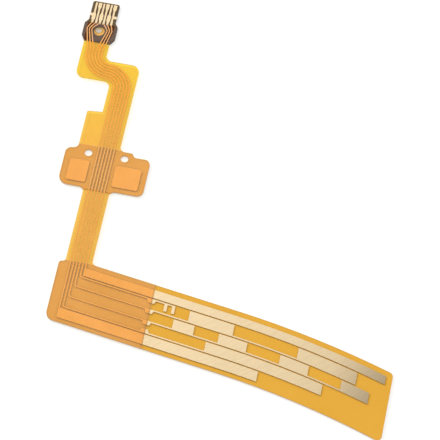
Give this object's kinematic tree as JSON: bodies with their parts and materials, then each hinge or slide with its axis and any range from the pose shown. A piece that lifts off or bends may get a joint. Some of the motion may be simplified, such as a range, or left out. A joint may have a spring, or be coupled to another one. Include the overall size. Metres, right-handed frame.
{
  "type": "flat flex cable",
  "caption": "Flat flexible circuit with a stiffened contact tip, a stepped ribbon, ears with locating holes, and a curved arm of gold tracks for a sliding contact.",
  "frame": {"origin": "axis of the left ear's locating hole, on the flat surface that the cable rests on", "axes": "+X along the arm from the ribbon's foot, +Y up the ribbon towards the contact tip, +Z through the thickness towards the gold side"},
  "size_m": [0.0287, 0.0323, 0.0002],
  "materials": {
    "film": "amber polyimide film",
    "coverlay": "clear amber polyimide film",
    "copper": "etched copper foil",
    "gold": "pale gold plating, finely brushed",
    "stiffener": "dark brown board",
    "backing": "tan polyimide backing"
  },
  "bodies": {
    "root": {"arm_backing": "backing", "base_film": "film", "conductor_comb": "copper", "conductor_row_1": "copper", "conductor_row_2": "copper", "conductor_row_3": "copper", "conductor_row_4": "copper", "conductor_row_5": "copper", "contact_plating_1": "gold", "contact_plating_2": "gold", "contact_plating_3": "gold", "contact_plating_4": "gold", "contact_plating_5": "gold", "contact_plating_6": "gold", "coverlay": "coverlay", "ear_backing": "backing", "ear_pad_left": "copper", "ear_pad_right": "copper", "tip_stiffener": "stiffener", "track_plating_comb": "gold", "track_plating_row_1": "gold", "track_plating_row_2": "gold", "track_plating_row_3": "gold", "track_plating_row_4": "gold", "track_plating_row_5": "gold"}
  },
  "joints": []
}
